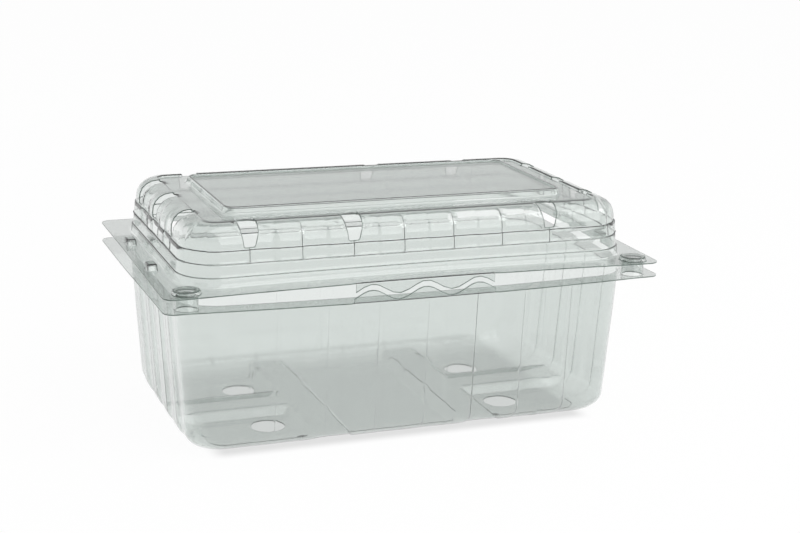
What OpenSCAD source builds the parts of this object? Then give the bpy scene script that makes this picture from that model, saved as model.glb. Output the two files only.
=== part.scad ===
// Hinged clear produce clamshell: a fluted tray and a domed, vented lid formed from one thin sheet.
// The origin is on the floor under the middle of the tray, +X runs along the long side, +Y to the hinge.

/* [Sheet] */
// Thickness of the formed sheet
sheet_t = 0.6; // [0.4:0.1:0.7]

/* [Rims] */
// Length of both flanges, left to right
rim_l = 190; // [176:1:220]
// Width of both flanges, front to back
rim_w = 118; // [110:1:140]
// Width of the flat flange outside the walls
rim_flat = 8; // [7:0.5:10]
// Corner radius of the flanges
rim_corner_r = 4; // [2:0.5:6]
// Rise from the tray flange to the lid flange when shut
rim_gap = 7.2; // [6.4:0.2:10]

/* [Tray] */
// Height of the tray up to the top of its flange
tray_h = 57.5; // [40:0.5:80]
// Plan corner radius of the tray at its flange
tray_corner_r = 14; // [12:0.5:17]
// How far the tray walls lean in between flange and floor
tray_draft = 4; // [1.5:0.5:5]
// Radius where the walls run into the floor
floor_fillet_r = 8; // [5:0.5:9]
// Depth of the flutes on the long walls
side_flute_d = 0.8; // [0.7:0.1:1.2]
// Depth of the flutes on the end walls
end_flute_d = 1.4; // [0.8:0.1:2]
// Spacing of the flutes on the long walls
side_flute_pitch = 19.2; // [18:0.2:24]
// Spacing of the flutes on the end walls
end_flute_pitch = 17; // [14:0.5:18]
// Width of a flute as a share of the spacing
flute_share = 0.5; // [0.4:0.05:0.6]

/* [Tray floor] */
// Height of the raised floor channels
channel_h = 3; // [2:0.5:5]
// Width of the two cross channels at the floor
cross_channel_w = 18.2; // [15:0.2:20]
// Distance of each cross channel from the middle
cross_channel_x = 29.6; // [24:0.1:36]
// Width of the two lengthwise channels at the floor
long_channel_w = 22; // [18:0.5:24]
// Lean of the channel sides over their height
channel_draft = 3.6; // [1:0.1:4]
// Diameter of the round vent holes in the floor
floor_vent_d = 13; // [8:0.5:15]
// Distance of the floor vents from the middle, left and right
floor_vent_x = 48; // [47:0.5:54]
// Distance of the floor vents from the middle, front and back
floor_vent_y = 21; // [20:0.5:26]

/* [Lid] */
// Plan corner radius of the lid dome at its flange
lid_corner_r = 15.5; // [14:0.5:18]
// Height of the first step line above the lid flange
band_1 = 3.4; // [2.5:0.1:4]
// Height of the second step line, where the sunk panels start
band_2 = 7.8; // [7:0.1:9]
// Height of the third step line, where the vents start
band_3 = 12.4; // [11:0.1:13]
// Depth of each step in the lid wall
band_step = 0.6; // [0.4:0.1:0.8]
// Lean of the lid wall over one band
band_draft = 0.3; // [0.1:0.1:0.5]
// Height of the deck above the lid flange
deck_h = 20.6; // [20:0.2:26]
// Height of the crest round the deck
crest_h = 0.7; // [0.6:0.1:1]
// Radius of the rounded shoulder below the crest
shoulder_r = 7; // [5:0.5:7]
// Depth by which the shoulder panels lie back from the wall
panel_d = 0.5; // [0.4:0.1:0.6]
// Spacing of the shoulder panels
panel_pitch = 19.2; // [18:0.2:21]
// Width of the flat top of the crest
crest_w = 1.2; // [1:0.1:2]

/* [Plateau] */
// Width of the flat deck between the shoulder and the plateau
deck_w = 10.3; // [6:0.1:16]
// Height of the plateau above the deck
plateau_h = 2.8; // [2:0.1:4]
// Corner radius of the plateau
plateau_corner_r = 4; // [3:0.5:8]
// Width of the rim around the sunk field on the plateau
field_rim = 4; // [3:0.5:8]
// Depth of the sunk field on the plateau
field_d = 0.7; // [0.3:0.1:1]

/* [Lid vents] */
// Width of a shoulder vent at its top
vent_top_w = 7; // [5:0.5:8]
// Width of a shoulder vent at its bottom
vent_low_w = 4; // [2:0.5:5]

/* [Front wave] */
// Length of the wavy tongue at the front edge
wave_l = 55; // [40:1:70]
// Distance from crest to crest of the wave
wave_pitch = 20.5; // [16:0.5:24]
// Open height between the two wavy edges
wave_clear = 2.4; // [1.5:0.1:3]

/* [Closures] */
// Inner radius of the cups in the lid flange
cup_r = 5.1; // [4:0.1:5.2]
// Height of the cups above the lid flange
cup_h = 1.6; // [1.6:0.2:3]
// Play between a cup and the stud inside it
stud_clear = 0.4; // [0.3:0.1:0.8]
// Distance of the studs from the ends of the flange
stud_in_x = 8.8; // [8:0.2:10]
// Distance of the studs from the front of the flange
stud_in_y = 6.4; // [6.2:0.2:8]
// Length of the grip blocks on the end flanges
grip_l = 7; // [4:0.5:10]
// Width of the grip blocks on the end flanges
grip_w = 4; // [3:0.2:5]
// Height of the grip blocks above the lid flange
grip_h = 2.2; // [1.5:0.1:3]
// Distance of the grip blocks from the middle of the end
grip_y = 18.5; // [14:0.5:24]

/* [Hinge] */
// Length of the folded hinge strip at the back
hinge_l = 120; // [80:1:150]
// Distance from the flange's back edge to the fold
hinge_reach = 3.6; // [3:0.1:5]
// Open gap between the two halves at the fold
fold_gap = 0.5; // [0.3:0.1:0.8]

/* [Hidden] */
$fn = 64;

half_l = rim_l / 2;
half_w = rim_w / 2;
lid_z = tray_h + rim_gap;
deck_z = lid_z + deck_h;
crest_z = deck_z + crest_h;
plateau_z = deck_z + plateau_h;
fold_y = half_w + hinge_reach;
fold_z = tray_h + (rim_gap - sheet_t) / 2;
arc_steps = 6;
wave_steps = 48;
over = 1;
wave_low = 0.2;
boss_soft = 0.8;
crest_fall = 0.15;
panel_w = panel_pitch / 2;
panel_end = 2;
corner_panel = [28, 62];
clear_tint = [0.84, 0.88, 0.86];

// How many flutes and panels the straight walls take on each side of their middle
side_flute_w = side_flute_pitch * flute_share;
end_flute_w = end_flute_pitch * flute_share;
side_flutes = floor((half_l - rim_flat - tray_corner_r - side_flute_w / 2) / side_flute_pitch);
end_flutes = floor((half_w - rim_flat - tray_corner_r - end_flute_w / 2) / end_flute_pitch + 0.5);
lid_side = half_l - rim_flat - lid_corner_r;
lid_end = half_w - rim_flat - lid_corner_r;
side_panels = floor((lid_side - panel_w / 2 - panel_end) / panel_pitch);
end_panels = floor((lid_end - panel_w / 2 - panel_end) / panel_pitch);

// Vents along a side, as panels counted from the middle, and along an end, as distances from its middle
front_vents = [-side_panels, -1, side_panels];
back_vents = [-side_panels, 1, side_panels];
end_vents = [-panel_pitch - panel_w / 2, panel_w / 2, 1.5 * panel_pitch];

// Points on an oval between two angles, as [inset from the flange edge, height]
function oval(s, z, rs, rz, from, to) =
  [for (i = [0:arc_steps]) let(a = from + (to - from) * i / arc_steps) [s + rs * cos(a), z + rz * sin(a)]];

// The same on a circle
function arc(s, z, r, from, to) = oval(s, z, r, r, from, to);

// Points to the nearest micron, so that straight runs and turned corners meet
function tidy(pts) = [for (p = pts) [round(p[0] * 1000) / 1000, round(p[1] * 1000) / 1000]];

// Half section of the tray from floor to rim, shifted in by o and grown out by g
function tray_section(o, g) =
  let(
    lean = atan(tray_draft / tray_h),
    slope = tray_draft / tray_h,
    wall = rim_flat + tray_draft - g,
    top = tray_h + (o > 0 ? over : 0),
    s_mid = wall - floor_fillet_r * slope + floor_fillet_r / cos(lean)
  )
  tidy(concat(
    arc(s_mid, floor_fillet_r, floor_fillet_r - o, 270, 180 + lean),
    [[wall + o / cos(lean) - top * slope, top]]
  ));

// Inset of the lid wall above its three steps, and of the middle of the shoulder's curve
wall_3 = rim_flat + 3 * (band_draft + band_step);
shoulder_s = wall_3 + shoulder_r;
plateau_l = rim_l - 2 * (shoulder_s + deck_w);
plateau_w = rim_w - 2 * (shoulder_s + deck_w);

// Half section of the lid from flange to crest and deck, shifted in and down by o
function lid_section(o) =
  let(lift = band_draft + band_step)
  tidy(concat(
    [
      [rim_flat + o, lid_z - sheet_t - (o > 0 ? over : 0)],
      [rim_flat + band_draft + o, lid_z + band_1 - o],
      [rim_flat + lift + o, lid_z + band_1 - o],
      [rim_flat + lift + band_draft + o, lid_z + band_2 - o],
      [rim_flat + 2 * lift + o, lid_z + band_2 - o],
      [rim_flat + 2 * lift + band_draft + o, lid_z + band_3 - o],
      [wall_3 + o, lid_z + band_3 - o]
    ],
    arc(shoulder_s, crest_z - shoulder_r, shoulder_r - o, 180, 90),
    [
      [shoulder_s + crest_w - o, crest_z - o - crest_fall],
      [shoulder_s + crest_w - o, deck_z - o]
    ]
  ));

// Half section of the wall between two panels, from the second step line up to just under the crest
function wall_section(o) =
  let(wall_2 = wall_3 - band_step - band_draft - panel_d)
  tidy(concat(
    [
      [wall_2 + o, lid_z + band_2 + o],
      [wall_2 + band_draft + o, lid_z + band_3 - o],
      [wall_3 - panel_d + o, lid_z + band_3 - o]
    ],
    oval(shoulder_s, crest_z - shoulder_r, shoulder_r + panel_d - o, shoulder_r - crest_fall - o, 180, 90),
    [[shoulder_s + crest_w - o, deck_z - o]]
  ));

// Full section from a half section, mirrored about the middle
function both_sides(half, pts) =
  concat(
    [for (p = pts) [half - p[0], p[1]]],
    [for (i = [len(pts) - 1:-1:0]) [pts[i][0] - half, pts[i][1]]]
  );

// Section run along X, from front to back
module run_x(pts, x, w) {
  translate([x, 0, 0])
    rotate([90, 0, 90])
      linear_extrude(w, center = true) polygon(both_sides(half_w, pts));
}

// Section run along Y, from end to end
module run_y(pts, y, w) {
  translate([0, y, 0])
    rotate([90, 0, 0])
      linear_extrude(w, center = true) polygon(both_sides(half_l, pts));
}

// Section turned about each of the four corner axes, between two angles
module turn_corners(pts, r, from, to) {
  ring = [for (p = pts) [r + rim_flat - p[0], p[1]]];
  last = len(pts) - 1;
  for (mx = [0, 1], my = [0, 1])
    mirror([mx, 0, 0]) mirror([0, my, 0])
      translate([half_l - rim_flat - r, half_w - rim_flat - r, 0])
        rotate([0, 0, from])
          rotate_extrude(angle = to - from)
            polygon(concat([[0, pts[0][1]]], ring, [[0, pts[last][1]]]));
}

// A section closed all the way round
module closed_form(pts, r) {
  run_x(pts, 0, rim_l - 2 * (rim_flat + r));
  run_y(pts, 0, rim_w - 2 * (rim_flat + r));
  turn_corners(pts, r, 0, 90);
}

// Flat outline with round corners
module outline(l, w, r) {
  square([l - 2 * r, w], center = true);
  square([l, w - 2 * r], center = true);
  for (x = [-1, 1], y = [-1, 1])
    translate([x * (l / 2 - r), y * (w / 2 - r)]) circle(r);
}

// Flat flange whose top is at the height z
module flange(z) {
  translate([0, 0, z - sheet_t])
    linear_extrude(sheet_t) outline(rim_l, rim_w, rim_corner_r);
}

// Bar with leaning sides along X, on the floor
module channel_bar(l, w, h) {
  rotate([90, 0, 90])
    linear_extrude(l, center = true)
      polygon([
        [-w / 2, -over], [w / 2, -over], [w / 2, 0],
        [w / 2 - channel_draft, h], [channel_draft - w / 2, h], [-w / 2, 0]
      ]);
}

// Channels of the floor, which run out through the walls, grown by o to give their upper side
module floor_channels(o) {
  for (side = [-1, 1]) {
    translate([side * cross_channel_x, 0, 0])
      rotate([0, 0, 90]) channel_bar(rim_w, cross_channel_w + 2 * o, channel_h + o);
    translate([side * (cross_channel_x + half_l) / 2, 0, 0])
      channel_bar(half_l - cross_channel_x, long_channel_w + 2 * o, channel_h + o);
  }
}

// Tray body with its flutes, shifted in by o
module tray_form(o) {
  closed_form(tray_section(o, 0), tray_corner_r);
  for (k = [-side_flutes:side_flutes])
    run_x(tray_section(o, side_flute_d), k * side_flute_pitch, side_flute_w - 2 * o);
  for (k = [0.5 - end_flutes:end_flutes - 0.5])
    run_y(tray_section(o, end_flute_d), k * end_flute_pitch, end_flute_w - 2 * o);
}

// Places where the panels of the dome lie back, wider by o on each side
module panel_slots(o) {
  reach = 2 * (shoulder_s + crest_w);
  tall = 2 * (deck_h + over);
  turn = round(o / (lid_corner_r - shoulder_r) * 180 / PI);
  for (k = [-side_panels:side_panels], y = [-half_w, half_w])
    translate([k * panel_pitch, y, lid_z]) cube([panel_w + 2 * o, reach, tall], center = true);
  for (k = [-end_panels:end_panels], x = [-half_l, half_l])
    translate([x, k * panel_pitch, lid_z]) cube([reach, panel_w + 2 * o, tall], center = true);
  for (mx = [0, 1], my = [0, 1])
    mirror([mx, 0, 0]) mirror([0, my, 0])
      translate([lid_side, lid_end, lid_z])
        linear_extrude(tall, center = true)
          polygon([
            [0, 0],
            [reach, reach * tan(corner_panel[0] - turn)],
            [reach, reach],
            [reach * tan(90 - corner_panel[1] - turn), reach]
          ]);
}

// Lid dome, whose wall stands out between the sunk panels, shifted in by o
module dome_form(o) {
  closed_form(lid_section(o), lid_corner_r);
  difference() {
    closed_form(wall_section(o), lid_corner_r);
    panel_slots(o);
  }
}

// Stacking plateau with a sunk field, shifted in and down by o
module plateau_form(o) {
  field_l = plateau_l - 2 * (field_rim - o);
  field_w = plateau_w - 2 * (field_rim - o);
  difference() {
    translate([0, 0, deck_z - o - over])
      linear_extrude(plateau_h + over)
        outline(plateau_l - 2 * o, plateau_w - 2 * o, plateau_corner_r - o);
    translate([0, 0, plateau_z - field_d - o])
      linear_extrude(field_d + over) outline(field_l, field_w, plateau_corner_r - o);
  }
}

// Tapered vent through the shoulder and crest of a side that lies at -Y
module side_vent(x) {
  low = lid_z + band_3 + over;
  high = crest_z + over;
  translate([x, -half_w + rim_flat, 0])
    rotate([90, 0, 0])
      linear_extrude(2 * (shoulder_s - rim_flat + crest_w + sheet_t / 2), center = true)
        polygon([[-vent_low_w / 2, low], [vent_low_w / 2, low], [vent_top_w / 2, high], [-vent_top_w / 2, high]]);
}

// All the vents round the dome
module dome_vents() {
  for (k = front_vents) side_vent(k * panel_pitch - panel_w / 2);
  for (k = back_vents) mirror([0, 1, 0]) side_vent(k * panel_pitch - panel_w / 2);
  for (turn = [-90, 90], y = end_vents)
    translate([sign(turn) * (half_l - half_w), 0, 0])
      rotate([0, 0, turn]) side_vent(-y);
}

// Height of the lid's wavy edge at x; the tray's edge lies below it by the open height
function wave_z(x) =
  let(swing = (rim_gap - sheet_t - 2 * wave_low - wave_clear) / 2)
  lid_z - sheet_t - wave_low - swing + swing * cos(360 * x / wave_pitch);

// Wavy tongue at the front edge, between a straight height and the wave shifted by dz
module wave_tongue(straight_z, dz) {
  edge = [for (i = [0:wave_steps]) let(x = wave_l * (i / wave_steps - 0.5)) [x, wave_z(x) + dz]];
  translate([0, sheet_t - half_w, 0])
    rotate([90, 0, 0])
      linear_extrude(sheet_t)
        polygon(concat(edge, [[wave_l / 2, straight_z], [-wave_l / 2, straight_z]]));
}

// Round boss of the radius r and height h, standing at z with its foot below
module boss(r, h, z, foot) {
  translate([0, 0, z])
    rotate_extrude()
      polygon([[0, -foot], [r, -foot], [r, h - boss_soft], [r - boss_soft, h], [0, h]]);
}

// Places of the two studs at the front corners
module at_studs() {
  for (side = [-1, 1])
    translate([side * (half_l - stud_in_x), stud_in_y - half_w, 0]) children();
}

// Places of the grip blocks on the end flanges
module at_grips() {
  for (x = [-1, 1], y = [-1, 1])
    translate([x * (half_l - rim_flat / 2), y * grip_y, lid_z]) children();
}

// Lower half of the hinge strip, from the tray flange up to the fold
module hinge_half() {
  slant = sheet_t * sqrt(2);
  edge_z = fold_z - fold_gap / 2;
  rotate([90, 0, 90])
    linear_extrude(hinge_l, center = true)
      polygon([
        [half_w - over, tray_h - sheet_t],
        [half_w - over, tray_h],
        [half_w, tray_h],
        [fold_y - slant, edge_z],
        [fold_y, edge_z],
        [half_w + slant, tray_h - sheet_t]
      ]);
}

module tray() {
  stud_h = rim_gap + cup_h - sheet_t - stud_clear;
  stud_r = cup_r - stud_clear;
  color(clear_tint)
    difference() {
      union() {
        tray_form(0);
        flange(tray_h);
        wave_tongue(tray_h - sheet_t, -wave_clear);
        at_studs() boss(stud_r, stud_h, tray_h, sheet_t);
        hinge_half();
      }
      floor_channels(0);
      difference() {
        tray_form(sheet_t);
        floor_channels(sheet_t);
      }
      at_studs() boss(stud_r - sheet_t, stud_h - sheet_t, tray_h, over);
      for (x = [-1, 1], y = [-1, 1])
        translate([x * floor_vent_x, y * floor_vent_y, -over]) cylinder(d = floor_vent_d, h = 2 * over + sheet_t);
    }
}

module lid() {
  color(clear_tint)
    difference() {
      union() {
        dome_form(0);
        plateau_form(0);
        flange(lid_z);
        wave_tongue(lid_z, 0);
        at_studs() boss(cup_r + sheet_t, cup_h, lid_z, sheet_t);
        at_grips() translate([0, 0, grip_h / 2]) cube([grip_w, grip_l, grip_h], center = true);
        translate([0, 0, 2 * fold_z]) mirror([0, 0, 1]) hinge_half();
      }
      dome_form(sheet_t);
      plateau_form(sheet_t);
      at_studs() boss(cup_r, cup_h - sheet_t, lid_z, over);
      dome_vents();
    }
}

tray();
lid();
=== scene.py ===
import math

import bmesh
import bpy
from mathutils import Matrix, Vector
from mathutils.kdtree import KDTree


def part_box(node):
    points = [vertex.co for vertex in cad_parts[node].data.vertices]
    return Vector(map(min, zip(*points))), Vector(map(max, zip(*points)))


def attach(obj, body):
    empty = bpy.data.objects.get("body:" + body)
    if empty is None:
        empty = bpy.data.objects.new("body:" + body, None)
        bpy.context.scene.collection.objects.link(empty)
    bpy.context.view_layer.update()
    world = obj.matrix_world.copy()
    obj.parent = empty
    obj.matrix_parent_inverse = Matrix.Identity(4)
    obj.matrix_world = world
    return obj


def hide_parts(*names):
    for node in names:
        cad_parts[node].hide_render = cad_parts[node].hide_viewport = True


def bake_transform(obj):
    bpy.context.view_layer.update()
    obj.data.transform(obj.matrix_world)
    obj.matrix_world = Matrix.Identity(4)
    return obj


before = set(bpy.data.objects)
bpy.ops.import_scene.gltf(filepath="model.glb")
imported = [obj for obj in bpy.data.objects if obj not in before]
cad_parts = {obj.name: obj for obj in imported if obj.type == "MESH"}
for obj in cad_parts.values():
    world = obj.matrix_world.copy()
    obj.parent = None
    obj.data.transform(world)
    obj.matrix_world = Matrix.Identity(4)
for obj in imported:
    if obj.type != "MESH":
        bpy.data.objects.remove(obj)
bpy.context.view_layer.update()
mm = 0.001
trayLow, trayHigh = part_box("tray")
within = 0.04 * mm    # flange edges stay this far inside the solid's box
level = 1e-5          # heights closer than this are the same
weld = 1e-7           # points closer than this are one
seam = 1e-6           # the same where two meshes meet

# the sheet and the two flanges
sheet = {
    "thick": 0.38 * mm,
    "halfL": trayHigh.x - within,
    "halfW": -trayLow.y - within,
    "flat": 8.0 * mm,      # flange outside the walls
    "root": 1.6 * mm,      # the bend into the wall starts this far out
    "edgeR": 4.0 * mm,     # flange corners
    "gap": 7.2 * mm,       # flange to flange
    "trayTop": 57.5 * mm,
    "cornerLines": 28,     # mesh lines round a corner
    "bowFade": (0.4, 1.4),       # shares of halfW over which the bow grows towards the front
    "bossLines": (1, 4),         # rings of the cups and studs painted with edge shade as dark lines
    "flow": (1.0, 1.0, 0.35),    # draw lines run down the walls
    "crisp": math.radians(55),   # edges sharper than this stay sharp
}
sheet["lidTop"] = sheet["trayTop"] + sheet["gap"]
sheet["rim"] = sheet["flat"] - sheet["root"]
rightward, backward, upward = Vector((1, 0, 0)), Vector((0, 1, 0)), Vector((0, 0, 1))


def smooth(t):
    t = max(0.0, min(1.0, t))
    return t * t * (3 - 2 * t)


# 1 on the strips of a row, 0 between them
def strips(q, pitch, width, soft, low, high, shift=0.0):
    k = max(low, min(high, round((q - shift) / pitch)))
    away = abs(q - shift - k * pitch)
    return smooth((width / 2 + soft / 2 - away) / soft)


# even steps from -limit to limit that give way to the marked places
def spread(limit, step, marks):
    count = round(2 * limit / step)
    endRoom, markRoom = 0.2 * mm, 0.4 * step
    kept = sorted({round(m, 7) for m in marks if abs(m) < limit - endRoom})
    even = [-limit + 2 * limit * i / count for i in range(count + 1)]
    even = [e for e in even if abs(abs(e) - limit) < 1e-9 or all(abs(e - m) > markRoom for m in kept)]
    return sorted(even + kept)


# which edge of its strip a place lies by: the lower or the higher one
def edgeNear(q, pitch):
    lower = q < round(q / pitch) * pitch
    return lower, not lower


# both edges of each strip, as places for mesh lines
def stripMarks(pitch, width, soft, low, high, shift=0.0):
    marks = []
    for k in range(low, high + 1):
        for side, ease in zip((-1, 1), soft):
            for part in (-0.5, 0.0, 0.5):
                marks.append(shift + k * pitch + side * width / 2 + part * ease)
    return marks


# a path of (inset, height, radius) corners with each corner rounded
def roundedPath(corners, arcSteps):
    points = [Vector(c[:2]) for c in corners]
    path = [points[0]]
    for i in range(1, len(points) - 1):
        radius = corners[i][2]
        back = (points[i - 1] - points[i]).normalized()
        ahead = (points[i + 1] - points[i]).normalized()
        half = back.angle(ahead) / 2
        run = radius / math.tan(half)
        if radius <= 0 or abs(half - math.pi / 2) < 1e-4:
            path.append(points[i])
            continue
        middle = points[i] + (back + ahead).normalized() * (radius / math.sin(half))
        first = points[i] + back * run - middle
        last = points[i] + ahead * run - middle
        turn = first.angle_signed(last)
        steps = max(2, round(arcSteps * abs(turn) / (math.pi / 2)))
        for k in range(steps + 1):
            angle = -turn * k / steps
            path.append(middle + Matrix.Rotation(angle, 2) @ first)
    path.append(points[-1])
    return path


# long stretches of a path split into shorter ones
def refine(path, longest):
    fine = [path[0]]
    for a, b in zip(path, path[1:]):
        count = max(1, math.ceil((b - a).length / longest))
        fine += [a.lerp(b, k / count) for k in range(1, count + 1)]
    return fine


# mesh lines round a half: front, right end, back, left end, with a round corner after each
def stations(longMarks, endMarks):
    around = []
    # way along x and y, the side it lies on, its marks
    sides = [(1, 0, -1, longMarks), (0, 1, 1, endMarks), (-1, 0, 1, longMarks), (0, -1, -1, endMarks)]
    for n, (dx, dy, fixed, marks) in enumerate(sides):
        limit = marks[-1]
        for q in marks:
            share = q / limit
            corner = (dx * share, fixed) if dx else (fixed, dy * share)
            normal = (0, fixed) if dx else (fixed, 0)
            run = "side" if dx else "end"
            around.append({"corner": corner, "normal": normal, "run": run, "q": q * (dx + dy)})
        start = math.radians(-90 + 90 * n)
        for k in range(1, sheet["cornerLines"]):
            part = k / sheet["cornerLines"]
            angle = start + part * math.pi / 2
            corner = (dx or fixed, dy or fixed)
            normal = (math.cos(angle), math.sin(angle))
            around.append({"corner": corner, "normal": normal, "run": "corner", "q": part})
    return around


# where a station's line stands at an inset, on a plan whose corners have the radius r there
def planPoint(station, inset, r, extra=0.0):
    x = station["corner"][0] * (sheet["halfL"] - inset - r) + station["normal"][0] * (r + extra)
    y = station["corner"][1] * (sheet["halfW"] - inset - r) + station["normal"][1] * (r + extra)
    return x, y


# corner radius on a flange, from its edge to where the bend into the wall starts
def flangeRadius(inset, wallR):
    return sheet["edgeR"] + (wallR + sheet["root"] - sheet["edgeR"]) * inset / sheet["rim"]


# a grid closed into a belt, each vertex sent to its station and row
def belt(bm, around, rows, place):
    across, along = len(around), len(rows) - 1
    grid = bmesh.ops.create_grid(bm, x_segments=across, y_segments=along, size=1.0)
    for v in grid["verts"]:
        i = round((v.co.x + 1) / 2 * across) % across
        j = round((v.co.y + 1) / 2 * along)
        v.co = place(around[i], j)
    bmesh.ops.remove_doubles(bm, verts=grid["verts"], dist=weld)


# rim edges whose two ends pass a test
def rimEdges(bm, test):
    return [e for e in bm.edges if e.is_boundary and all(test(v.co) for v in e.verts)]


# one extrusion of rim edges, each new vertex moved by a rule
def growEdges(bm, edges, move):
    out = bmesh.ops.extrude_edge_only(bm, edges=edges)["geom"]
    fresh = {g for g in out if isinstance(g, bmesh.types.BMVert)}
    for v in fresh:
        v.co = move(v.co.copy())
    return [g for g in out if isinstance(g, bmesh.types.BMEdge) and fresh.issuperset(g.verts)]


# the strip of faces along rim edges, painted with the painted edge shade
def paintEdgeShade(edges):
    for e in edges:
        e.link_faces[0].material_index = 1


# the wall's first row drawn out to the flange's edge
def growFlange(bm, around, z, cornerRadius):
    edges = rimEdges(bm, lambda co: abs(co.z - z) < seam)
    steps = 3
    places = []
    for k in range(steps + 1):
        at = sheet["rim"] * (1 - k / steps)
        places.append([Vector((*planPoint(s, at, cornerRadius(at)), z)) for s in around])
    for here, there in zip(places, places[1:]):
        near = KDTree(len(here))
        for i, point in enumerate(here):
            near.insert(point, i)
        near.balance()
        edges = growEdges(bm, edges, lambda co: there[near.find(co)[1]])


# a front flange sprung by one height in its middle and by another at the studs
def bowFlange(bm, middle, studs, held):
    reach = sheet["halfL"] - lid["studIn"][0]
    start, run = (share * sheet["halfW"] for share in sheet["bowFade"])
    for v in bm.verts:
        front = smooth((start - v.co.y) / run)
        out = min(1.0, abs(v.co.x) / reach) ** 2
        v.co.z += held(v.co.z) * front * (middle + (studs - middle) * out)


# a convex opening cut along a direction, its outline given on two axes
def cutOpening(bm, outline, u, v, centre, near):
    lowU, highU = min(p[0] for p in outline), max(p[0] for p in outline)
    lowV, highV = min(p[1] for p in outline), max(p[1] for p in outline)
    margin = 0.6 * mm

    def reached(face):
        us = [(w.co - centre).dot(u) for w in face.verts]
        vs = [(w.co - centre).dot(v) for w in face.verts]
        inside = max(us) > lowU - margin and min(us) < highU + margin
        return inside and max(vs) > lowV - margin and min(vs) < highV + margin

    faces = [f for f in bm.faces if near(f.calc_center_median()) and reached(f)]
    count = len(outline)
    planes = []
    for i in range(count):
        a, b = Vector(outline[i]), Vector(outline[(i + 1) % count])
        run = (b - a).normalized()
        planes.append((centre + u * a.x + v * a.y, (u * run.y - v * run.x).normalized()))
    for point, normal in planes:
        geom = dict.fromkeys(g for f in faces for g in (f, *f.edges, *f.verts))    # each once, in order
        cut = bmesh.ops.bisect_plane(bm, geom=list(geom), dist=weld, plane_co=point, plane_no=normal)
        faces = [g for g in cut["geom"] if isinstance(g, bmesh.types.BMFace)]
    gone = []
    for f in faces:
        middle = f.calc_center_median()
        if all((middle - point).dot(normal) < 0 for point, normal in planes):
            gone.append(f)
    bmesh.ops.delete(bm, geom=gone, context="FACES")


# outline of a shape with round corners, anticlockwise, from its corner points
def softOutline(corners, radius, steps):
    points = []
    count = len(corners)
    for i in range(count):
        prior, at, following = (Vector(corners[(i + n) % count]) for n in (-1, 0, 1))
        path = roundedPath([(*prior, 0), (*at, radius), (*following, 0)], steps)
        points += [tuple(p) for p in path[1:-1]]
    return points


def circleOutline(radius):
    sides = 40
    angles = [2 * math.pi * k / sides for k in range(sides)]
    return [(radius * math.cos(a), radius * math.sin(a)) for a in angles]


# an opening cut straight down through a level part of the sheet
def cutLevel(bm, outline, centre, slack=level):
    cutOpening(bm, outline, rightward, backward, centre, lambda co: abs(co.z - centre.z) < slack)


# a hole's rim drawn up into a closed boss by (size, height) steps about its centre;
# a dark step's ring is painted with edge shade, a painted dark line where the ring bends the light
def raiseBoss(bm, centre, halfX, halfY, levels, dark=()):
    slack = 0.05 * mm
    edges = rimEdges(bm, lambda co: abs(co.x - centre.x) < halfX + slack
                     and abs(co.y - centre.y) < halfY + slack and abs(co.z - centre.z) < level)
    size = 1.0
    for step, (share, height) in enumerate(levels):
        factor = share / size
        edges = growEdges(bm, edges, lambda co: Vector((
            centre.x + (co.x - centre.x) * factor,
            centre.y + (co.y - centre.y) * factor,
            centre.z + height)))
        for f in {f for e in edges for f in e.link_faces}:
            # rings of the dark steps take the painted edge shade
            f.material_index = 1 if step in dark else 0
        size = share
    bmesh.ops.holes_fill(bm, edges=edges, sides=0)


# height of the wavy edge of the lid at x; the tray's edge lies below it
wave = {
    "length": 55.0 * mm,
    "pitch": 20.5 * mm,
    "clear": 1.85 * mm,   # gap between the two wavy edges
    "low": 1.0 * mm,      # crests below the lid flange
    "swing": 1.95 * mm,   # half of crest to trough
    "shadeBand": 0.25 * mm,    # strip along the edge painted with edge shade, a painted dark line
    "fold": 0.5 * mm,     # radius of the bend
    "lines": 6,
}


def waveHeight(x):
    return sheet["lidTop"] - wave["low"] - wave["swing"] * (1 - math.cos(2 * math.pi * x / wave["pitch"]))


# the front edge folded into a wavy tongue
def foldTongue(bm, rimZ, up, edgeAt):
    front, fold, lines = -sheet["halfW"], wave["fold"], wave["lines"]
    edges = rimEdges(bm, lambda co: abs(co.y - front) < level and abs(co.x) < wave["length"] / 2)
    for v in {v for e in edges for v in e.verts}:
        v.co.y += fold
    for part in (1, 2, 3):
        angle = part * math.pi / 6
        y = front + fold * (1 - math.sin(angle))
        z = rimZ + up * fold * (1 - math.cos(angle))
        edges = growEdges(bm, edges, lambda co: Vector((co.x, y, z)))
    start = rimZ + up * fold
    for k in range(1, lines + 1):
        edges = growEdges(bm, edges, lambda co: Vector((
            co.x, front, start + (edgeAt(co.x) - up * wave["shadeBand"] - start) * k / lines)))
    # the last strip down to the edge is painted with edge shade, a painted dark line
    paintEdgeShade(growEdges(bm, edges, lambda co: Vector((co.x, front, edgeAt(co.x)))))


# clear formed sheet: faint grey-green body, soft draw lines and fine haze
clearSheet = {
    "tint": (0.803, 0.832, 0.818, 1.0),
    "ior": 1.57,
    "absorb": (0.62, 0.74, 0.68, 1.0),
    "density": 40.0,
    "flowSize": 60.0,
    "flowStrength": 0.12,
    "flowDepth": 0.4 * mm,
    "hazeSize": 900.0,
    "rough": (0.02, 0.07),
}


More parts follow.
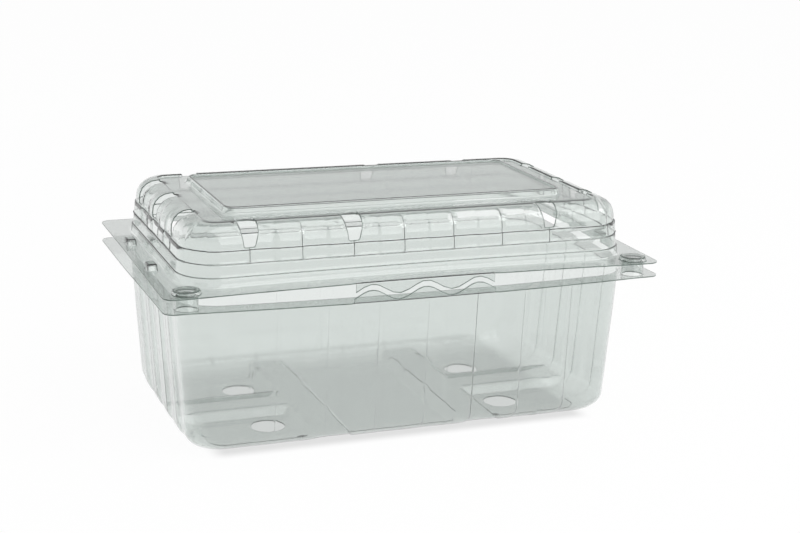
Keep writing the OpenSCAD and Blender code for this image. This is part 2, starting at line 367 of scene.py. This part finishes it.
def clearMaterial(name, flowScale):
    mat = bpy.data.materials.new(name)
    mat.use_nodes = True
    nodes, links = mat.node_tree.nodes, mat.node_tree.links
    shader = nodes["Principled BSDF"]
    shader.inputs["Base Color"].default_value = clearSheet["tint"]
    shader.inputs["Transmission Weight"].default_value = 1.0
    shader.inputs["IOR"].default_value = clearSheet["ior"]
    coords = nodes.new("ShaderNodeTexCoord")
    stretch = nodes.new("ShaderNodeMapping")
    stretch.inputs["Scale"].default_value = flowScale
    flow = nodes.new("ShaderNodeTexNoise")
    flow.inputs["Scale"].default_value = clearSheet["flowSize"]
    flow.inputs["Detail"].default_value = 2.0
    haze = nodes.new("ShaderNodeTexNoise")
    haze.inputs["Scale"].default_value = clearSheet["hazeSize"]
    haze.inputs["Detail"].default_value = 3.0
    rough = nodes.new("ShaderNodeMapRange")
    rough.inputs["To Min"].default_value, rough.inputs["To Max"].default_value = clearSheet["rough"]
    bump = nodes.new("ShaderNodeBump")
    bump.inputs["Strength"].default_value = clearSheet["flowStrength"]
    bump.inputs["Distance"].default_value = clearSheet["flowDepth"]
    volume = nodes.new("ShaderNodeVolumeAbsorption")
    volume.inputs["Color"].default_value = clearSheet["absorb"]
    volume.inputs["Density"].default_value = clearSheet["density"]
    links.new(coords.outputs["Object"], stretch.inputs["Vector"])
    links.new(stretch.outputs["Vector"], flow.inputs["Vector"])
    links.new(coords.outputs["Object"], haze.inputs["Vector"])
    links.new(haze.outputs["Fac"], rough.inputs["Value"])
    links.new(rough.outputs["Result"], shader.inputs["Roughness"])
    links.new(flow.outputs["Fac"], bump.inputs["Height"])
    links.new(bump.outputs["Normal"], shader.inputs["Normal"])
    links.new(volume.outputs["Volume"], nodes["Material Output"].inputs["Volume"])
    return mat


# painted shade for the cut edge of the sheet: a dark green-grey colour that stands in for the trapped
# light that makes it look darker and greener
paintedEdgeShade = {
    "dark": (0.10, 0.14, 0.12, 1.0),
    "pale": (0.22, 0.28, 0.25, 1.0),
    "clear": 0.35,
    "rough": 0.3,
    "mottleSize": 350.0,
    "mottle": (0.35, 0.65),   # where dark turns to pale
}


# painted edge shade: a partly clear material, dark and pale in random patches
def edgeShadeMaterial(name):
    mat = bpy.data.materials.new(name)
    mat.use_nodes = True
    nodes, links = mat.node_tree.nodes, mat.node_tree.links
    shader = nodes["Principled BSDF"]
    shader.inputs["Transmission Weight"].default_value = paintedEdgeShade["clear"]
    shader.inputs["IOR"].default_value = clearSheet["ior"]
    shader.inputs["Roughness"].default_value = paintedEdgeShade["rough"]
    coords = nodes.new("ShaderNodeTexCoord")
    mottle = nodes.new("ShaderNodeTexNoise")
    mottle.inputs["Scale"].default_value = paintedEdgeShade["mottleSize"]
    mottle.inputs["Detail"].default_value = 2.0
    shade = nodes.new("ShaderNodeValToRGB")
    for element, at, colour in zip(shade.color_ramp.elements, paintedEdgeShade["mottle"], ("dark", "pale")):
        element.position = at
        element.color = paintedEdgeShade[colour]
    links.new(coords.outputs["Object"], mottle.inputs["Vector"])
    links.new(mottle.outputs["Fac"], shade.inputs["Fac"])
    links.new(shade.outputs["Color"], shader.inputs["Base Color"])
    return mat


# a finished sheet: faces turned outwards, given its thickness, smooth but for its cut edges
def finishSheet(bm, name, thick, outwards, flowScale):
    bmesh.ops.recalc_face_normals(bm, faces=bm.faces[:])
    if not outwards(bm):
        bmesh.ops.reverse_faces(bm, faces=bm.faces[:])
    for f in bm.faces:
        f.smooth = True
    surface = bpy.data.meshes.new(name + "Surface")
    bm.to_mesh(surface)
    bm.free()
    surface.materials.append(clearMaterial(name + "Clear", flowScale))
    surface.materials.append(edgeShadeMaterial(name + "PaintedEdgeShade"))
    piece = bpy.data.objects.new(name, surface)
    bpy.context.scene.collection.objects.link(piece)
    wall = piece.modifiers.new("wall", "SOLIDIFY")
    wall.thickness = thick
    wall.offset = -1.0
    # the cut rim of the sheet takes the painted edge shade
    wall.material_offset_rim = 1
    graph = bpy.context.evaluated_depsgraph_get()
    solid = bpy.data.meshes.new_from_object(piece.evaluated_get(graph))
    piece.modifiers.clear()
    piece.data = solid
    solid.name = name
    solid.set_sharp_from_angle(angle=sheet["crisp"])
    print(name, len(solid.polygons), "faces")
    return piece


# whether the topmost and the lowest flat faces of a half look outwards
def facesUp(bm):
    flat = [f for f in bm.faces if abs(f.normal.z) > 0.9]
    return max(flat, key=lambda f: f.calc_center_median().z).normal.z > 0


def facesDown(bm):
    flat = [f for f in bm.faces if abs(f.normal.z) > 0.9]
    return min(flat, key=lambda f: f.calc_center_median().z).normal.z < 0


lid = {
    "cornerR": 15.5 * mm,
    "bands": (3.4 * mm, 7.8 * mm, 12.4 * mm),
    "step": 0.6 * mm,
    "draft": 0.3 * mm,
    "convexR": (0.45 * mm, 0.35 * mm, 0.30 * mm),    # outer and inner corners of the steps
    "concaveR": (0.40 * mm, 0.16 * mm, 0.18 * mm),
    "deck": 20.6 * mm,
    "crest": 0.7 * mm,
    "crestW": 1.2 * mm,
    "shoulderR": 7.0 * mm,
    "panelD": 0.45 * mm,   # panels lie back from the wall
    "panelPitch": 19.2 * mm,
    "panelW": 9.6 * mm,
    "panelSoft": (0.35 * mm, 0.9 * mm),   # one edge crisp, the other drawn softer
    "sidePanels": 3,
    "endPanels": 1,
    "cornerPanel": (28 / 90, 62 / 90),    # from and to, as shares of the corner's turn
    "cornerSoft": 0.04,
    "deckW": 10.3 * mm,
    "plateauH": 2.8 * mm,
    "plateauR": 4.0 * mm,
    "fieldRim": 1.5 * mm,
    "fieldD": 0.7 * mm,
    "ventLow": 4.2 * mm,
    "ventTop": 7.2 * mm,
    "ventFoot": 0.4 * mm,    # above the third step
    "ventOver": 1.5 * mm,    # the cut goes this far above the crest
    "ventBelly": 0.55,       # share of the height where the full width is reached
    "ventR": 0.7 * mm,
    "ventShadeBand": (0.2 * mm, 0.1 * mm),    # strip painted with edge shade, on the sides and the ends
    "ventIn": 0.3 * mm,                  # cut past the crest
    "frontVents": (-3, -1, 3),           # by panel, counted from the middle
    "backVents": (-3, 1, 3),
    "endVents": (-24.0 * mm, 4.8 * mm, 28.8 * mm),
    "cupR": 5.1 * mm,
    "cupH": 1.6 * mm,
    "cupFoot": 0.3 * mm,
    # mm past cupR, share of cupH
    "cupSteps": ((0.13, 0.07), (0.0, 0.22), (-0.15, 0.7), (-0.35, 0.92), (-0.7, 1.0), (-1.6, 1.0)),
    "studIn": (8.8 * mm, 5.8 * mm),          # from the end and the front edge
    "grip": (4.0 * mm, 7.0 * mm, 2.2 * mm),  # across, along, up
    "gripR": 0.8 * mm,
    # shares of the size and of the height
    "gripSteps": ((0.95, 0.1), (0.92, 0.3), (0.88, 0.8), (0.84, 0.95), (0.76, 1.0), (0.5, 1.0)),
    "gripY": 18.5 * mm,
    "bow": (0.2 * mm, -0.8 * mm),   # front flange: height in the middle and at the studs
    "rowStep": 1.6 * mm,
    "columnStep": 2.2 * mm,
}


def makeLid():
    top, flat = sheet["lidTop"], sheet["flat"]
    lift = lid["step"] + lid["draft"]
    wall3 = flat + 3 * lift
    shoulder = wall3 + lid["shoulderR"]
    plateau = shoulder + lid["deckW"]
    deckZ = top + lid["deck"]
    crestZ = deckZ + lid["crest"]
    lipEnd = shoulder + lid["crestW"]
    topZ = deckZ + lid["plateauH"]
    # the section from the flange to the plateau's field: inset, height, corner radius
    corners = [(sheet["rim"], top, 0), (flat, top, 0.9 * mm)]
    for n, band in enumerate(lid["bands"]):
        corners.append((flat + n * lift + lid["draft"], top + band, lid["convexR"][n]))
        corners.append((flat + (n + 1) * lift, top + band, lid["concaveR"][n]))
    corners += [
        (wall3, crestZ, lid["shoulderR"]),
        (lipEnd, crestZ, 0.35 * mm),
        (lipEnd + 0.1 * mm, deckZ, 0.2 * mm),
        (plateau, deckZ, 0.9 * mm),
        (plateau + 0.7 * mm, topZ, 0.5 * mm),
        (plateau + lid["fieldRim"], topZ, 0.25 * mm),
        (plateau + lid["fieldRim"] + 0.3 * mm, topZ - lid["fieldD"], 0.3 * mm),
        (plateau + lid["fieldRim"] + 2.0 * mm, topZ - lid["fieldD"], 0),
    ]
    path = refine(roundedPath(corners, 5), lid["rowStep"])

    def cornerRadius(inset):
        if inset < sheet["rim"]:
            return flangeRadius(inset, lid["cornerR"])
        if inset < lipEnd:
            return lid["cornerR"] + flat - inset
        start = lid["cornerR"] + flat - lipEnd
        return start + (lid["plateauR"] - start) * smooth(min(1.0, (inset - lipEnd) / (plateau - lipEnd)))

    def panelShare(station):
        pitch, width, soft = lid["panelPitch"], lid["panelW"], lid["panelSoft"]
        if station["run"] == "corner":
            low, high = lid["cornerPanel"]
            edge = lid["cornerSoft"]
            return smooth((station["q"] - low) / edge + 0.5) * smooth((high - station["q"]) / edge + 0.5)
        count = lid["sidePanels"] if station["run"] == "side" else lid["endPanels"]
        return min(strips(station["q"], pitch, width, s, -count, count) if near else 1.0
                   for s, near in zip(soft, edgeNear(station["q"], pitch)))

    # the wall stands out between the panels from the second step line up, and dies away at the crest
    def rowShare(j):
        inset, z = path[j]
        slack = 0.05 * mm
        if z < top + lid["bands"][1] - slack:
            return 0.0
        return max(0.0, min(1.0, (shoulder - inset) / lid["shoulderR"]))

    def place(station, j):
        inset, z = path[j]
        out = lid["panelD"] * (1 - panelShare(station)) * rowShare(j)
        x, y = planPoint(station, inset, cornerRadius(inset), out)
        return Vector((x, y, z))

    straightX = sheet["halfL"] - flat - lid["cornerR"]
    straightY = sheet["halfW"] - flat - lid["cornerR"]
    pitch, width, soft = lid["panelPitch"], lid["panelW"], lid["panelSoft"]
    count, few = lid["sidePanels"], lid["endPanels"]
    longMarks = spread(straightX, lid["columnStep"], stripMarks(pitch, width, soft, -count, count))
    endMarks = spread(straightY, lid["columnStep"], stripMarks(pitch, width, soft, -few, few))
    around = stations(longMarks, endMarks)
    bm = bmesh.new()
    belt(bm, around, path, place)
    field = rimEdges(bm, lambda co: co.z > deckZ)
    bmesh.ops.holes_fill(bm, edges=field, sides=0)
    growFlange(bm, around, top, cornerRadius)
    cutVents(bm, crestZ)
    cutCups(bm, top)
    cutGrips(bm, top)
    foldTongue(bm, top, -1, waveHeight)
    bowFlange(bm, lid["bow"][0], lid["bow"][1], lambda z: 1 - smooth((z - top) / lid["bands"][1]))
    return finishSheet(bm, "lidSheet", sheet["thick"], facesUp, sheet["flow"])


# tapered vents through the shoulder and crest, on all four sides
def cutVents(bm, crestZ):
    low = sheet["lidTop"] + lid["bands"][2] + lid["ventFoot"]
    high = crestZ + lid["ventOver"]
    belly = low + lid["ventBelly"] * (high - low)
    a, b = lid["ventLow"] / 2, lid["ventTop"] / 2
    outline = softOutline([(-a, low), (a, low), (b, belly), (b, high), (-b, high)], lid["ventR"], 3)
    half = lid["panelW"] / 2
    room = 1.0 * mm
    shoulder = sheet["flat"] + 3 * (lid["step"] + lid["draft"]) + lid["shoulderR"]
    inner = shoulder + lid["crestW"] + lid["ventIn"]
    for side, vents in ((-1, lid["frontVents"]), (1, lid["backVents"])):
        for k in vents:
            centre = Vector((k * lid["panelPitch"] - half, 0, 0))
            edge = sheet["halfW"] - inner
            cutOpening(bm, outline, rightward, upward, centre, lambda co: co.y * side > edge)
            shadeVentRim(bm, centre, 0, b, low, crestZ, lambda co: co.y * side > edge - room)
    for side in (-1, 1):
        for q in lid["endVents"]:
            centre = Vector((0, -side * q, 0))
            edge = sheet["halfL"] - inner
            cutOpening(bm, outline, backward, upward, centre, lambda co: co.x * side > edge)
            shadeVentRim(bm, centre, 1, b, low, crestZ, lambda co: co.x * side > edge - room)


# a narrow strip round a vent, painted with edge shade as a painted dark line
def shadeVentRim(bm, centre, axis, half, low, high, near):
    shadeBand = lid["ventShadeBand"][axis]
    slack = 0.1 * mm
    middle = (low + high) / 2

    def onRim(co):
        return abs(co[axis] - centre[axis]) < half + slack and low - slack < co.z and near(co)

    def inwards(co):
        co[axis] -= (co[axis] - centre[axis]) * shadeBand / half
        co.z -= (co.z - middle) * shadeBand / (high - middle)
        return co

    paintEdgeShade(growEdges(bm, rimEdges(bm, onRim), inwards))


def studPlaces(z):
    x, y = sheet["halfL"] - lid["studIn"][0], lid["studIn"][1] - sheet["halfW"]
    return [Vector((side * x, y, z)) for side in (-1, 1)]


# round cups at the front corners of the lid flange
def cutCups(bm, z):
    radius = lid["cupR"] + lid["cupFoot"]
    levels = [((lid["cupR"] + r * mm) / radius, h * lid["cupH"]) for r, h in lid["cupSteps"]]
    for centre in studPlaces(z):
        cutLevel(bm, circleOutline(radius), centre)
        raiseBoss(bm, centre, radius, radius, levels, sheet["bossLines"])


# small raised blocks on the end flanges of the lid
def cutGrips(bm, z):
    across, along, height = lid["grip"]
    w, d = across / 2, along / 2
    outline = softOutline([(-w, -d), (w, -d), (w, d), (-w, d)], lid["gripR"], 4)
    levels = [(share, part * height) for share, part in lid["gripSteps"]]
    for x in (-1, 1):
        for y in (-1, 1):
            centre = Vector((x * (sheet["halfL"] - sheet["flat"] / 2), y * lid["gripY"], z))
            cutLevel(bm, outline, centre)
            raiseBoss(bm, centre, w, d, levels)


tray = {
    "cornerR": 14.0 * mm,
    "draft": 4.0 * mm,
    "curve": (9.6 * mm, 8.3 * mm),   # floor curve, across and up
    "padR": 6.5 * mm,                # corners of the floor pads
    "floorIn": 2.0 * mm,
    "padStep": 0.65 * mm,            # small step down to the floor pads along the front
    "stepRun": 0.16 * mm,
    "stepFade": (0.2, 0.35),         # shares of halfW: how far in front it starts, and its run to full
    "sideFlute": {"pitch": 19.2 * mm, "width": 9.6 * mm, "depth": 0.36 * mm, "soft": 0.6 * mm,
                  "first": -3, "last": 3, "shift": 0.0 * mm},
    "endFlute": {"pitch": 17.0 * mm, "width": 8.5 * mm, "depth": 0.8 * mm, "soft": 2.2 * mm,
                 "first": -2, "last": 1, "shift": 8.5 * mm},
    "fluteFade": 1.5 * mm,           # below the flange
    "channelH": 3.0 * mm,
    "channelLean": 2.8 * mm,
    "crossX": 29.6 * mm,
    "crossW": 18.2 * mm,
    "longW": 22.0 * mm,
    "vent": (48.0 * mm, 21.0 * mm, 6.5 * mm),   # x, y, radius
    "studR": 4.3 * mm,
    "studH": 5.2 * mm,
    "studFoot": 0.35 * mm,
    "bow": (0.0 * mm, 1.2 * mm),
    "bowDepth": 12.0 * mm,   # the walls give this far below the flange
    "rowStep": 1.8 * mm,
    "columnStep": 1.5 * mm,
    "curveLines": 12,
}


# height of the raised floor channels at a place; they run out through the walls
def channelHeight(x, y):
    lean = tray["channelLean"]
    cross = tray["crossW"] / 2 - abs(abs(x) - tray["crossX"])
    along = min(abs(x) - tray["crossX"], tray["longW"] / 2 - abs(y))
    return tray["channelH"] * max(0.0, min(1.0, max(cross, along) / lean))


def makeTray():
    flat = sheet["flat"]
    top = sheet["trayTop"] - sheet["thick"]
    axis = flat + tray["cornerR"]        # inset of the walls' corner axes
    core = axis + tray["floorIn"]        # inset of the flat floor
    across, up = tray["curve"]
    step = tray["padStep"]
    start, run = (share * sheet["halfW"] for share in tray["stepFade"])
    bendS = flat + tray["draft"] * (1 - up / top)
    corners = [(sheet["rim"], top, 0), (flat, top, 0.7 * mm), (bendS, up, 0)]
    path = refine(roundedPath(corners, 9), tray["rowStep"])
    for k in range(1, tray["curveLines"] + 1):
        angle = k * math.pi / (2 * tray["curveLines"])
        path.append(Vector((bendS + across * (1 - math.cos(angle)), up - (up - step) * math.sin(angle))))
    path += [Vector((bendS + across + tray["stepRun"], 0)), Vector((core, 0))]

    def cornerRadius(inset):
        if inset < sheet["rim"]:
            return flangeRadius(inset, tray["cornerR"])
        if inset < bendS:
            return axis - inset
        if inset > core - seam:
            return 0.0
        share = min(1.0, (inset - bendS) / across)
        return (axis - bendS) * (1 - share) + tray["padR"] * share

    def fluteShare(station):
        if station["run"] == "corner":
            return 0.0
        f, q = tray["endFlute"], station["q"] * widenY
        if station["run"] == "side":
            f, q = tray["sideFlute"], station["q"] * widenX
        rise = strips(q, f["pitch"], f["width"], f["soft"], f["first"], f["last"], f["shift"])
        return f["depth"] * rise

    def fluteMarks(f, widen):
        soft = (f["soft"], f["soft"])
        marks = stripMarks(f["pitch"], f["width"], soft, f["first"], f["last"], f["shift"])
        return [m / widen for m in marks]

    def place(station, j):
        inset, z = path[j]
        slope = (path[min(j + 1, len(path) - 1)] - path[max(j - 1, 0)]).normalized()
        fade = smooth((top - z) / tray["fluteFade"])
        out = fluteShare(station) * fade * max(0.0, -slope.y)
        x, y = planPoint(station, inset, cornerRadius(inset), out)
        if z < up:
            front = smooth((-start - y) / run)
            z = max(0.0, z - step * (1 - front) * (1 - z / up))
        return Vector((x, y, max(z, channelHeight(x, y))))

    # mesh lines are laid out on the floor and spread a little up the walls
    straightX, straightY = sheet["halfL"] - core, sheet["halfW"] - core
    widenX, widenY = (sheet["halfL"] - axis) / straightX, (sheet["halfW"] - axis) / straightY
    leans = [part * tray["channelLean"] for part in (0, 0.25, 0.5, 0.75, 1)]
    crossMarks = [side * (tray["crossX"] + edge * (tray["crossW"] / 2 - lean))
                  for side in (-1, 1) for edge in (-1, 1) for lean in leans]
    longMarks = [side * (tray["longW"] / 2 - lean) for side in (-1, 1) for lean in leans]
    alongX = spread(straightX, tray["columnStep"], fluteMarks(tray["sideFlute"], widenX) + crossMarks)
    alongY = spread(straightY, tray["columnStep"], fluteMarks(tray["endFlute"], widenY) + longMarks)
    around = stations(alongX, alongY)
    bm = bmesh.new()
    belt(bm, around, path, place)
    bm.normal_update()
    # the small front step is painted with edge shade, a painted dark line where it is steep and looks to
    # the front
    steep, frontmost = 0.6, 0.55
    for f in bm.faces:
        middle = f.calc_center_median()
        frontward = abs(f.normal.z) < steep and abs(f.normal.y) > frontmost * abs(f.normal.x)
        if middle.z < step and frontward and channelHeight(middle.x, middle.y) < seam:
            f.material_index = 1
    makeFloor(bm, alongX, alongY)
    growFlange(bm, around, top, cornerRadius)
    bmesh.ops.remove_doubles(bm, verts=bm.verts[:], dist=seam)
    cutFloorVents(bm)
    cutStuds(bm, top)
    foldTongue(bm, top, 1, lambda x: waveHeight(x) - wave["clear"])
    bowFlange(bm, tray["bow"][0], tray["bow"][1], lambda z: smooth(1 + (z - top) / tray["bowDepth"]))
    return finishSheet(bm, "traySheet", sheet["thick"], facesDown, sheet["flow"])


# the floor inside the corner axes, with its raised channels
def makeFloor(bm, alongX, alongY):
    nx, ny = len(alongX) - 1, len(alongY) - 1
    grid = bmesh.ops.create_grid(bm, x_segments=nx, y_segments=ny, size=1.0)
    for v in grid["verts"]:
        x = alongX[round((v.co.x + 1) / 2 * nx)]
        y = alongY[round((v.co.y + 1) / 2 * ny)]
        v.co = (x, y, channelHeight(x, y))


# round vents in the floor pads
def cutFloorVents(bm):
    x, y, radius = tray["vent"]
    for sx in (-1, 1):
        for sy in (-1, 1):
            centre = Vector((sx * x, sy * y, 0))
            cutLevel(bm, circleOutline(radius), centre, 1.0 * mm)


# hollow studs that stand up into the lid's cups
def cutStuds(bm, z):
    inner = tray["studR"] - sheet["thick"]
    radius = inner + tray["studFoot"]
    full = tray["studH"]
    # radius and height of each ring
    rings = [(inner + 0.12 * mm, 0.12 * mm), (inner, 0.4 * mm), (inner - 0.2 * mm, full - 0.7 * mm),
             (inner - 0.4 * mm, full - 0.2 * mm), (inner - 0.9 * mm, full), (inner - 1.6 * mm, full)]
    levels = [(r / radius, h) for r, h in rings]
    for centre in studPlaces(z):
        cutLevel(bm, circleOutline(radius), centre)
        raiseBoss(bm, centre, radius, radius, levels, sheet["bossLines"])


# the fold between the two back edges, one film curved in a half round
hinge = {
    "length": 120.0 * mm,
    "reach": 3.4 * mm,
    "thick": 0.32 * mm,
    "tuck": 0.05 * mm,          # its edges lie this far inside the back edges
    "lines": 14,
    "columns": 60,
    "flow": (0.35, 1.0, 1.0),   # draw lines run along the fold
}


def makeHinge():
    low, high = sheet["trayTop"], sheet["lidTop"] - sheet["thick"]
    middle = (low + high) / 2
    rise = (high - low) / 2 + sheet["thick"] / 2
    bm = bmesh.new()
    grid = bmesh.ops.create_grid(bm, x_segments=hinge["columns"], y_segments=hinge["lines"], size=1.0)
    for v in grid["verts"]:
        angle = v.co.y * math.pi / 2
        x = v.co.x * hinge["length"] / 2
        y = sheet["halfW"] - hinge["tuck"] + hinge["reach"] * math.cos(angle)
        v.co = (x, y, middle + rise * math.sin(angle))
    bm.faces.ensure_lookup_table()
    piece = finishSheet(bm, "hingeFilm", hinge["thick"], lambda b: b.faces[0].normal.y > 0, hinge["flow"])
    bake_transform(piece)
    return piece


lidPiece = makeLid()
trayPiece = makeTray()
hingePiece = makeHinge()
for piece, body in ((lidPiece, "lid"), (trayPiece, "tray")):
    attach(piece, body)
    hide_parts(body)
print("pieces made")

# studio: white floor and surround, soft boxes above
studio = {
    "floorSize": 6.0,
    "floorTone": (0.92, 0.92, 0.92, 1.0),
    "shadow": 0.03,
    "under": 0.76,
    "hair": 0.1 * mm,    # the floor lies this far below the pads
    "shadeX": 77.0 * mm,
    "shadeY": (-49.0 * mm, 72.0 * mm),
    "soft": 8.0 * mm,
    "sky": ((0.0, 1.0), (0.06, 1.0), (0.2, 0.55), (0.45, 0.45), (1.0, 0.4)),    # height, brightness
    "aim": Vector((0, 0, 0.04)),
    "bounces": 32,
}


def mathNode(nodes, operation):
    node = nodes.new("ShaderNodeMath")
    node.operation = operation
    return node


# 1 for the rays that show the floor to the camera, straight, mirrored or through the sheet
def lightPathMix(nodes, links):
    path = nodes.new("ShaderNodeLightPath")
    total = path.outputs["Is Camera Ray"]
    for name in ("Is Glossy Ray", "Is Transmission Ray"):
        add = mathNode(nodes, "MAXIMUM")
        links.new(total, add.inputs[0])
        links.new(path.outputs[name], add.inputs[1])
        total = add.outputs[0]
    return total


# brightness of the floor: white all round, a soft contact shadow under the tray and just behind it
def footShade(nodes, links):
    coords = nodes.new("ShaderNodeTexCoord")
    split = nodes.new("ShaderNodeSeparateXYZ")
    links.new(coords.outputs["Object"], split.inputs[0])
    low, high = studio["shadeY"]
    masks = []
    for axis, middle, half in (("X", 0.0, studio["shadeX"]), ("Y", (low + high) / 2, (high - low) / 2)):
        centred = mathNode(nodes, "SUBTRACT")
        centred.inputs[1].default_value = middle
        away = mathNode(nodes, "ABSOLUTE")
        mask = nodes.new("ShaderNodeMapRange")
        mask.interpolation_type = "SMOOTHSTEP"
        mask.inputs["From Min"].default_value = half - studio["soft"]
        mask.inputs["From Max"].default_value = half
        mask.inputs["To Min"].default_value = 1.0
        mask.inputs["To Max"].default_value = 0.0
        links.new(split.outputs[axis], centred.inputs[0])
        links.new(centred.outputs[0], away.inputs[0])
        links.new(away.outputs[0], mask.inputs["Value"])
        masks.append(mask.outputs["Result"])
    both = mathNode(nodes, "MULTIPLY")
    tone = nodes.new("ShaderNodeMapRange")
    tone.inputs["To Min"].default_value = 1.0
    tone.inputs["To Max"].default_value = studio["under"]
    links.new(masks[0], both.inputs[0])
    links.new(masks[1], both.inputs[1])
    links.new(both.outputs[0], tone.inputs["Value"])
    return tone.outputs["Result"]


def makeFloorPlane():
    bm = bmesh.new()
    bmesh.ops.create_grid(bm, x_segments=1, y_segments=1, size=studio["floorSize"] / 2)
    bmesh.ops.translate(bm, verts=bm.verts[:], vec=(0, 0, -studio["hair"]))
    mesh = bpy.data.meshes.new("floor")
    bm.to_mesh(mesh)
    bm.free()
    floor = bpy.data.objects.new("floor", mesh)
    bpy.context.scene.collection.objects.link(floor)
    mat = bpy.data.materials.new("whiteFloor")
    mat.use_nodes = True
    nodes, links = mat.node_tree.nodes, mat.node_tree.links
    nodes.remove(nodes["Principled BSDF"])
    matte = nodes.new("ShaderNodeBsdfDiffuse")
    matte.inputs["Color"].default_value = studio["floorTone"]
    glow = nodes.new("ShaderNodeEmission")
    shaded = nodes.new("ShaderNodeMixShader")
    links.new(footShade(nodes, links), glow.inputs["Strength"])
    shaded.inputs["Fac"].default_value = studio["shadow"]
    seen = nodes.new("ShaderNodeMixShader")
    links.new(glow.outputs[0], shaded.inputs[1])
    links.new(matte.outputs[0], shaded.inputs[2])
    links.new(lightPathMix(nodes, links), seen.inputs["Fac"])
    links.new(matte.outputs[0], seen.inputs[1])
    links.new(shaded.outputs[0], seen.inputs[2])
    links.new(seen.outputs[0], nodes["Material Output"].inputs["Surface"])
    mesh.materials.append(mat)


# white backdrop at the horizon, dimmer ceiling
def makeWorld():
    world = bpy.data.worlds.new("studio")
    bpy.context.scene.world = world
    world.use_nodes = True
    nodes, links = world.node_tree.nodes, world.node_tree.links
    coords = nodes.new("ShaderNodeTexCoord")
    split = nodes.new("ShaderNodeSeparateXYZ")
    ramp = nodes.new("ShaderNodeValToRGB")
    while len(ramp.color_ramp.elements) < len(studio["sky"]):
        ramp.color_ramp.elements.new(0.5)
    for element, (at, tone) in zip(ramp.color_ramp.elements, studio["sky"]):
        element.position = at
        element.color = (tone, tone, tone, 1.0)
    links.new(coords.outputs["Generated"], split.inputs[0])
    links.new(split.outputs["Z"], ramp.inputs["Fac"])
    links.new(ramp.outputs["Color"], nodes["Background"].inputs["Color"])


softBoxes = {
    "above": {"at": (0.30, -0.40, 1.00), "size": (1.2, 1.2), "power": 5.5},
    "front": {"at": (0.40, -1.00, 0.50), "size": (1.2, 1.6), "power": 7.2},
    "right": {"at": (0.95, -0.45, 0.55), "size": (0.5, 0.5), "power": 2.5},
}


def makeLights():
    for name, box in softBoxes.items():
        lamp = bpy.data.lights.new(name, "AREA")
        lamp.energy = box["power"]
        lamp.shape = "RECTANGLE"
        lamp.size, lamp.size_y = box["size"]
        holder = bpy.data.objects.new(name, lamp)
        holder.location = box["at"]
        aim = studio["aim"] - holder.location
        holder.rotation_euler = aim.to_track_quat("-Z", "Y").to_euler()
        bpy.context.scene.collection.objects.link(holder)


# the photo's viewpoint
photoView = {
    "at": (-0.207, -0.5716, 0.2159),
    "yaw": -20.98,
    "pitch": 14.90,
    "roll": 1.39,
    "focalPx": 1605.0,
    "widthPx": 800,
    "sensor": 36.0,
    "near": 0.01,
}


def makeCamera():
    data = bpy.data.cameras.new("photoCamera")
    data.sensor_width = photoView["sensor"]
    data.lens = data.sensor_width * photoView["focalPx"] / photoView["widthPx"]
    data.clip_start = photoView["near"]
    camera = bpy.data.objects.new("photoCamera", data)
    turn = (Matrix.Rotation(math.radians(photoView["yaw"]), 4, "Z")
            @ Matrix.Rotation(math.radians(90 - photoView["pitch"]), 4, "X")
            @ Matrix.Rotation(math.radians(photoView["roll"]), 4, "Z"))
    camera.matrix_world = Matrix.Translation(photoView["at"]) @ turn
    bpy.context.scene.collection.objects.link(camera)
    bpy.context.scene.camera = camera


makeFloorPlane()
makeWorld()
makeLights()
makeCamera()
scene = bpy.context.scene
scene.view_settings.view_transform = "Standard"
scene.cycles.max_bounces = studio["bounces"]
scene.cycles.transmission_bounces = studio["bounces"]
print("studio made")
